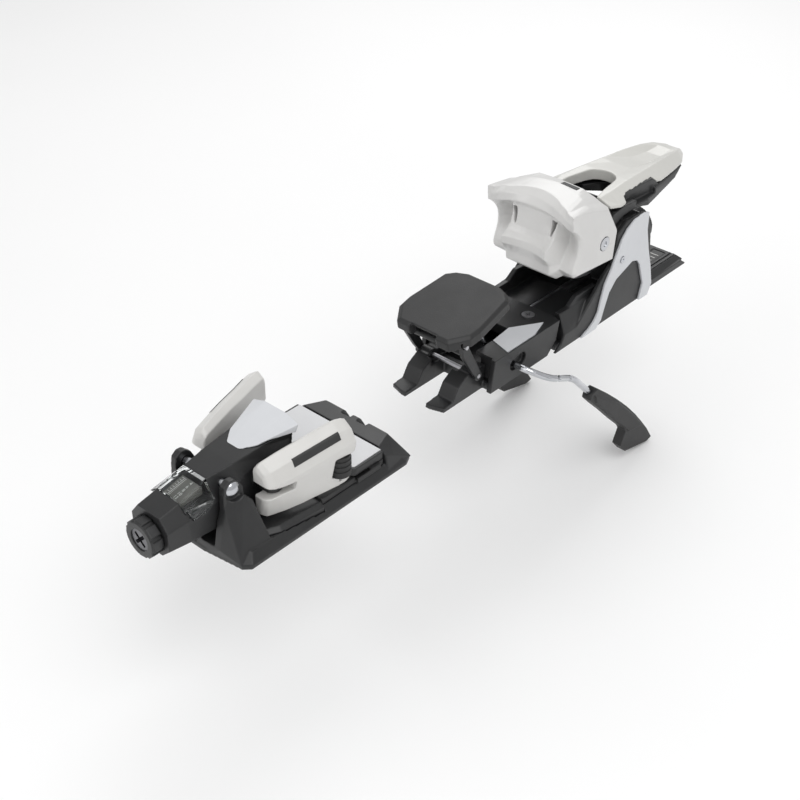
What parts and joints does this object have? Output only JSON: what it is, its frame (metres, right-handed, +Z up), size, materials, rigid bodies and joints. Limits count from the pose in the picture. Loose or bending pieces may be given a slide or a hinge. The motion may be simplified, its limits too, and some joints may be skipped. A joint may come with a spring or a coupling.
{
  "type": "alpine step-in ski binding",
  "caption": "Alpine step-in ski binding: toe unit with hinged jaws and sliding plate, and heel unit with hinged cup, opening lever and ski brakes.",
  "frame": {"origin": "centre of the toe unit's four mounting holes, on the ski's top surface", "axes": "+X towards the ski's tip, +Y to the skier's left, +Z up out of the ski"},
  "size_m": [0.5584, 0.136, 0.236],
  "materials": {
    "black_plastic": "satin glass-filled black moulding",
    "brass": "yellow zinc-plated",
    "bright_steel": "bright plated steel",
    "cam_steel": "grey cast cam block",
    "clear_window": "clear moulded window",
    "dark_steel": "dark spring steel",
    "roller": "black ribbed roller",
    "scale": "grey scale strip with plain tick marks",
    "steel": "plated steel",
    "white_plastic": "semi-gloss white moulding"
  },
  "bodies": {
    "base": {"toe_base": "black_plastic", "toe_carrier": "black_plastic", "toe_axle": "bright_steel", "afd_frame": "black_plastic", "heel_track": "black_plastic", "track_index": "white_plastic", "brake_base": "black_plastic", "brake_inserts": "white_plastic", "brake_screws": "bright_steel", "link_pin": "steel"},
    "toe_head": {"toe_housing": "black_plastic", "toe_cap": "white_plastic", "toe_window": "clear_window", "toe_scale": "scale", "toe_spring": "dark_steel", "toe_piston": "steel", "wing_pins": "steel"},
    "left_wing": {"wing_left": "white_plastic", "roller_pin_left": "steel"},
    "right_wing": {"wing_right": "white_plastic", "roller_pin_right": "steel"},
    "left_roller": {"roller_left": "roller"},
    "right_roller": {"roller_right": "roller"},
    "toe_adjuster": {"toe_knob": "black_plastic", "toe_screw": "steel"},
    "toe_nut": {"toe_indicator": "brass"},
    "slide_plate": {"afd_slider": "black_plastic", "afd_plate": "white_plastic"},
    "brake_arms": {"brake_wire": "bright_steel", "brake_shoes": "black_plastic"},
    "pad": {"brake_pad": "black_plastic", "pad_pin": "steel"},
    "link": {"pad_link": "black_plastic"},
    "heel_slider": {"heel_housing": "black_plastic", "side_panels": "white_plastic", "panel_rivets": "bright_steel", "heel_axle": "steel", "heel_spring": "dark_steel"},
    "length_adjuster": {"length_screw": "steel"},
    "heel_cup": {"heel_cup": "white_plastic", "cup_pin": "bright_steel", "cup_cam": "cam_steel"},
    "lever": {"lever_frame": "black_plastic", "lever_cover": "white_plastic"},
    "heel_push_rod": {"heel_piston": "steel"},
    "heel_adjuster": {"heel_screw": "steel"},
    "heel_spring_nut": {"heel_nut": "brass"}
  },
  "joints": [
    {"name": "toe_height", "type": "hinge", "parent": "base", "child": "toe_head", "pos_m": [0.0705, 0, 0.047], "axis": [0, 1, 0], "range_deg": [0, 2.5]},
    {"name": "left_wing_release", "type": "hinge", "parent": "toe_head", "child": "left_wing", "pos_m": [0.042, 0.027, 0.037], "axis": [0, 0, 1], "range_deg": [-18, 0], "stiffness_Nm_per_rad": 4},
    {"name": "right_wing_release", "type": "hinge", "parent": "toe_head", "child": "right_wing", "pos_m": [0.042, -0.027, 0.037], "axis": [0, 0, 1], "range_deg": [0, 18], "stiffness_Nm_per_rad": 4},
    {"name": "left_roller_spin", "type": "hinge", "parent": "left_wing", "child": "left_roller", "pos_m": [-0.003, 0.041, 0.034], "axis": [0, 0, 1], "continuous": true},
    {"name": "right_roller_spin", "type": "hinge", "parent": "right_wing", "child": "right_roller", "pos_m": [-0.003, -0.041, 0.034], "axis": [0, 0, 1], "continuous": true},
    {"name": "toe_setting_turn", "type": "hinge", "parent": "toe_head", "child": "toe_adjuster", "pos_m": [0.1, 0, 0.0287], "axis": [1, 0, 0], "range_deg": [0, 1440]},
    {"name": "toe_nut_slide", "type": "slide", "parent": "toe_head", "child": "toe_nut", "axis": [1, 0, 0], "range_m": [-0.008, 0], "deforming": ["toe_spring"]},
    {"name": "plate_slide", "type": "slide", "parent": "base", "child": "slide_plate", "axis": [0, 1, 0], "range_m": [-0.005, 0.005], "stiffness_N_per_m": 400},
    {"name": "brake_pivot", "type": "hinge", "parent": "base", "child": "brake_arms", "pos_m": [-0.19, 0, 0.013], "axis": [0, 1, 0], "range_deg": [0, 42], "stiffness_Nm_per_rad": 1, "springref_deg": -34.38},
    {"name": "pad_hinge", "type": "hinge", "parent": "brake_arms", "child": "pad", "pos_m": [-0.1655, 0, 0.05], "axis": [0, 1, 0], "range_deg": [-52, 0]},
    {"name": "link_pivot", "type": "hinge", "parent": "base", "child": "link", "pos_m": [-0.156, 0, 0.017], "axis": [0, 1, 0], "range_deg": [0, 44.7]},
    {"name": "length_slide", "type": "slide", "parent": "base", "child": "heel_slider", "axis": [1, 0, 0], "range_m": [-0.01, 0]},
    {"name": "length_screw_turn", "type": "hinge", "parent": "heel_slider", "child": "length_adjuster", "pos_m": [-0.3, 0, 0.015], "axis": [1, 0, 0], "range_deg": [-721, 0]},
    {"name": "heel_step_in", "type": "hinge", "parent": "heel_slider", "child": "heel_cup", "pos_m": [-0.312, 0, 0.05], "axis": [0, 1, 0], "range_deg": [0, 22]},
    {"name": "lever_pivot", "type": "hinge", "parent": "heel_cup", "child": "lever", "pos_m": [-0.286, 0, 0.074], "axis": [0, 1, 0], "range_deg": [0, 17.7]},
    {"name": "heel_push_rod_slide", "type": "slide", "parent": "heel_slider", "child": "heel_push_rod", "axis": [1, 0, 0], "range_m": [-0.002, 0], "deforming": ["heel_spring"]},
    {"name": "heel_setting_turn", "type": "hinge", "parent": "heel_slider", "child": "heel_adjuster", "pos_m": [-0.385, 0, 0.037], "axis": [1, 0, 0], "range_deg": [0, 1080]},
    {"name": "heel_nut_slide", "type": "slide", "parent": "heel_slider", "child": "heel_spring_nut", "axis": [1, 0, 0], "range_m": [0, 0.006], "deforming": ["heel_spring"]}
  ],
  "couplings": [
    {"joint": "toe_nut_slide", "follows": "toe_setting_turn", "m_per_rad": -0.00031831},
    {"joint": "pad_hinge", "follows": "brake_pivot", "ratio": -1.2357},
    {"joint": "link_pivot", "follows": "brake_pivot", "ratio": 1.0615},
    {"joint": "length_screw_turn", "follows": "length_slide", "rad_per_m": 1256.6},
    {"joint": "lever_pivot", "follows": "heel_step_in", "ratio": 0.8},
    {"joint": "heel_push_rod_slide", "follows": "heel_step_in", "m_per_rad": -0.005},
    {"joint": "heel_nut_slide", "follows": "heel_setting_turn", "m_per_rad": 0.00031831}
  ]
}
